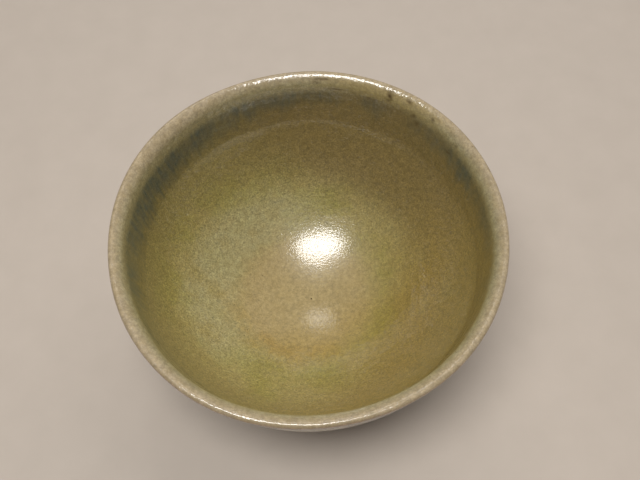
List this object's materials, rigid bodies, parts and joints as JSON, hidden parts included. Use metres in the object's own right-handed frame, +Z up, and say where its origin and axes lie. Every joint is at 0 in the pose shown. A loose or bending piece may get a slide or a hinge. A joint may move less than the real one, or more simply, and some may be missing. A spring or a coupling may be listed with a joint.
{
  "type": "matcha bowl",
  "caption": "Hand-thrown stoneware tea bowl with an ash glaze, a thick glaze band under the lip and an unglazed foot ring.",
  "frame": {"origin": "centre of the foot ring's flat tread, where the bowl stands on the table", "axes": "+Z up along the bowl's axis of turning; +X to the right and -Y towards the viewer"},
  "size_m": [0.125, 0.125, 0.07],
  "materials": {
    "bare_clay": "matte",
    "inner_ash_glaze": "gloss",
    "pool_glaze": "gloss",
    "band_glaze": "gloss",
    "lip_glaze": "gloss",
    "outer_ash_glaze": "gloss"
  },
  "bodies": {
    "root": {"thrown_body": "bare_clay", "foot_ring": "bare_clay", "inner_glaze": "inner_ash_glaze", "pool_glaze": "pool_glaze", "band_glaze": "band_glaze", "lip_glaze": "lip_glaze", "outer_glaze": "outer_ash_glaze"}
  },
  "joints": []
}
